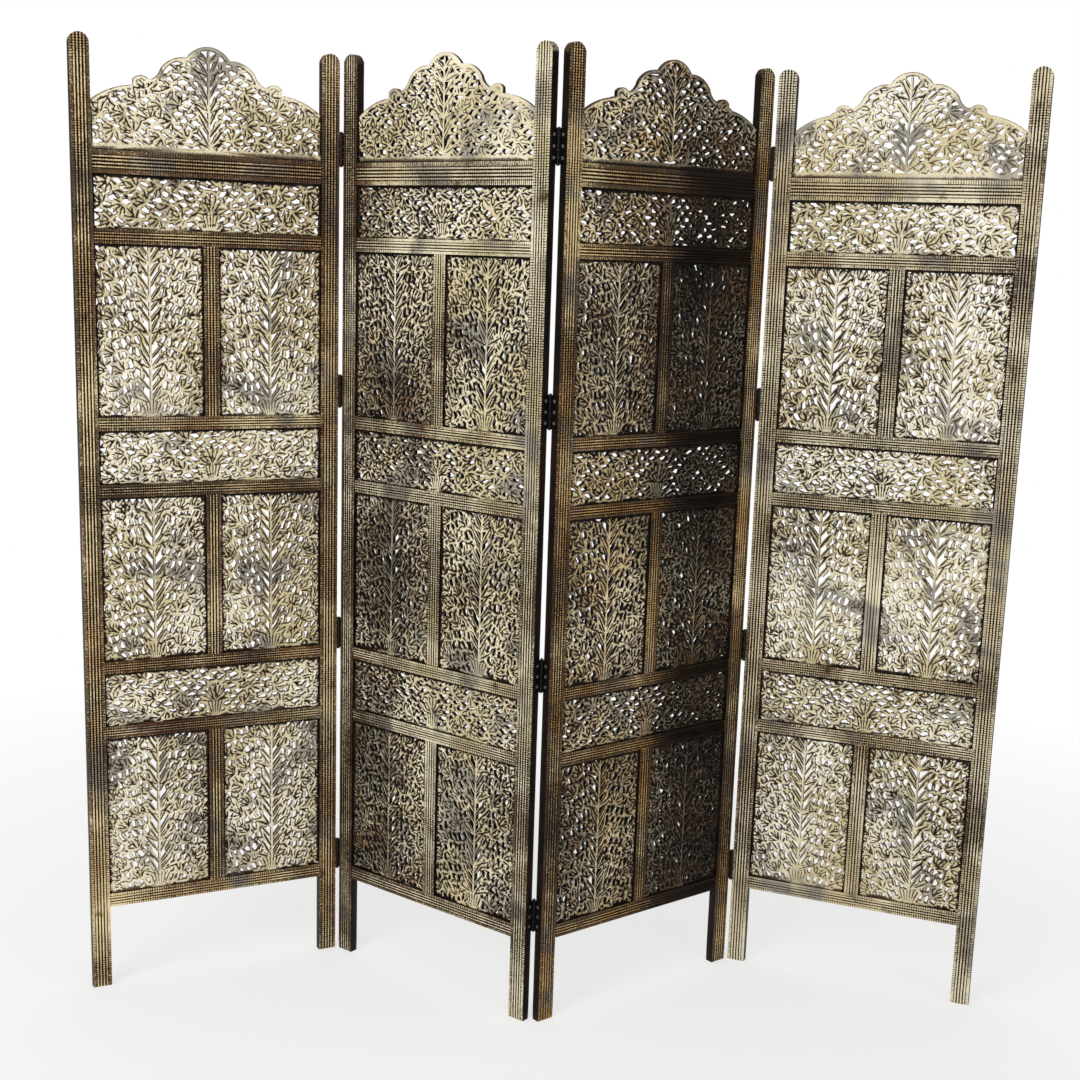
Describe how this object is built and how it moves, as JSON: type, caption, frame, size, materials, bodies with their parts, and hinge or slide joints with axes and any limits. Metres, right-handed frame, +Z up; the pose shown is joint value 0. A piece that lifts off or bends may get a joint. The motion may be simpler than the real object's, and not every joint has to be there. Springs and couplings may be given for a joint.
{
  "type": "folding screen",
  "caption": "Tall folding room divider: hinged frame-and-panel wooden leaves with pierced floral carving and scalloped crests, standing in a zigzag.",
  "frame": {"origin": "on the floor, under the middle of the box around the standing zigzag", "axes": "+Z up; -Y towards the viewer of the front; +X along the screen from leaf 1 to leaf 4"},
  "size_m": [1.779, 0.3372, 1.829],
  "materials": {
    "stile_wood": "dark stained hardwood, reeds rubbed with cream and gold paint",
    "rail_wood": "dark stained hardwood, reeds rubbed with cream and gold paint",
    "mullion_wood": "dark stained hardwood, reeds rubbed with cream and gold paint",
    "crest_carving": "carved and pierced, cream and gold dry-brushed over dark stain",
    "band_carving": "carved and pierced, cream and gold dry-brushed over dark stain",
    "panel_carving": "carved and pierced, cream and gold dry-brushed over dark stain",
    "hinge_iron": "black japanned iron",
    "pin_iron": "black japanned iron",
    "screw_steel": "darkened steel"
  },
  "bodies": {
    "leaf_1": {"leaf_1_crest_panel": "crest_carving", "leaf_1_crest_rail": "rail_wood", "leaf_1_cross_rails": "rail_wood", "leaf_1_hinge_screws": "screw_steel", "leaf_1_left_stile": "stile_wood", "leaf_1_lower_band_panel": "band_carving", "leaf_1_lower_panels": "panel_carving", "leaf_1_middle_band_panel": "band_carving", "leaf_1_middle_panels": "panel_carving", "leaf_1_mullions": "mullion_wood", "leaf_1_right_hinge_plates": "hinge_iron", "leaf_1_right_stile": "stile_wood", "leaf_1_upper_band_panel": "band_carving", "leaf_1_upper_panels": "panel_carving"},
    "leaf_2": {"leaf_2_crest_panel": "crest_carving", "leaf_2_crest_rail": "rail_wood", "leaf_2_cross_rails": "rail_wood", "leaf_2_hinge_pins": "pin_iron", "leaf_2_hinge_screws": "screw_steel", "leaf_2_left_hinge_plates": "hinge_iron", "leaf_2_left_stile": "stile_wood", "leaf_2_lower_band_panel": "band_carving", "leaf_2_lower_panels": "panel_carving", "leaf_2_middle_band_panel": "band_carving", "leaf_2_middle_panels": "panel_carving", "leaf_2_mullions": "mullion_wood", "leaf_2_right_hinge_plates": "hinge_iron", "leaf_2_right_stile": "stile_wood", "leaf_2_upper_band_panel": "band_carving", "leaf_2_upper_panels": "panel_carving"},
    "leaf_3": {"leaf_3_crest_panel": "crest_carving", "leaf_3_crest_rail": "rail_wood", "leaf_3_cross_rails": "rail_wood", "leaf_3_hinge_pins": "pin_iron", "leaf_3_hinge_screws": "screw_steel", "leaf_3_left_hinge_plates": "hinge_iron", "leaf_3_left_stile": "stile_wood", "leaf_3_lower_band_panel": "band_carving", "leaf_3_lower_panels": "panel_carving", "leaf_3_middle_band_panel": "band_carving", "leaf_3_middle_panels": "panel_carving", "leaf_3_mullions": "mullion_wood", "leaf_3_right_hinge_plates": "hinge_iron", "leaf_3_right_stile": "stile_wood", "leaf_3_upper_band_panel": "band_carving", "leaf_3_upper_panels": "panel_carving"},
    "leaf_4": {"leaf_4_crest_panel": "crest_carving", "leaf_4_crest_rail": "rail_wood", "leaf_4_cross_rails": "rail_wood", "leaf_4_hinge_screws": "screw_steel", "leaf_4_left_hinge_plates": "hinge_iron", "leaf_4_left_stile": "stile_wood", "leaf_4_lower_band_panel": "band_carving", "leaf_4_lower_panels": "panel_carving", "leaf_4_middle_band_panel": "band_carving", "leaf_4_middle_panels": "panel_carving", "leaf_4_mullions": "mullion_wood", "leaf_4_right_stile": "stile_wood", "leaf_4_upper_band_panel": "band_carving", "leaf_4_upper_panels": "panel_carving"}
  },
  "joints": [
    {"name": "fold_leaf_1", "type": "hinge", "parent": "leaf_2", "child": "leaf_1", "pos_m": [-0.42036, 0.14817, 0], "axis": [0, 0, 1], "range_deg": [-64, 116]},
    {"name": "fold_leaf_3", "type": "hinge", "parent": "leaf_2", "child": "leaf_3", "pos_m": [-0.00832, -0.15101, 0], "axis": [0, 0, 1], "range_deg": [-76, 104]},
    {"name": "fold_leaf_4", "type": "hinge", "parent": "leaf_3", "child": "leaf_4", "pos_m": [0.41392, 0.13361, 0], "axis": [0, 0, -1], "range_deg": [-60, 120]}
  ]
}
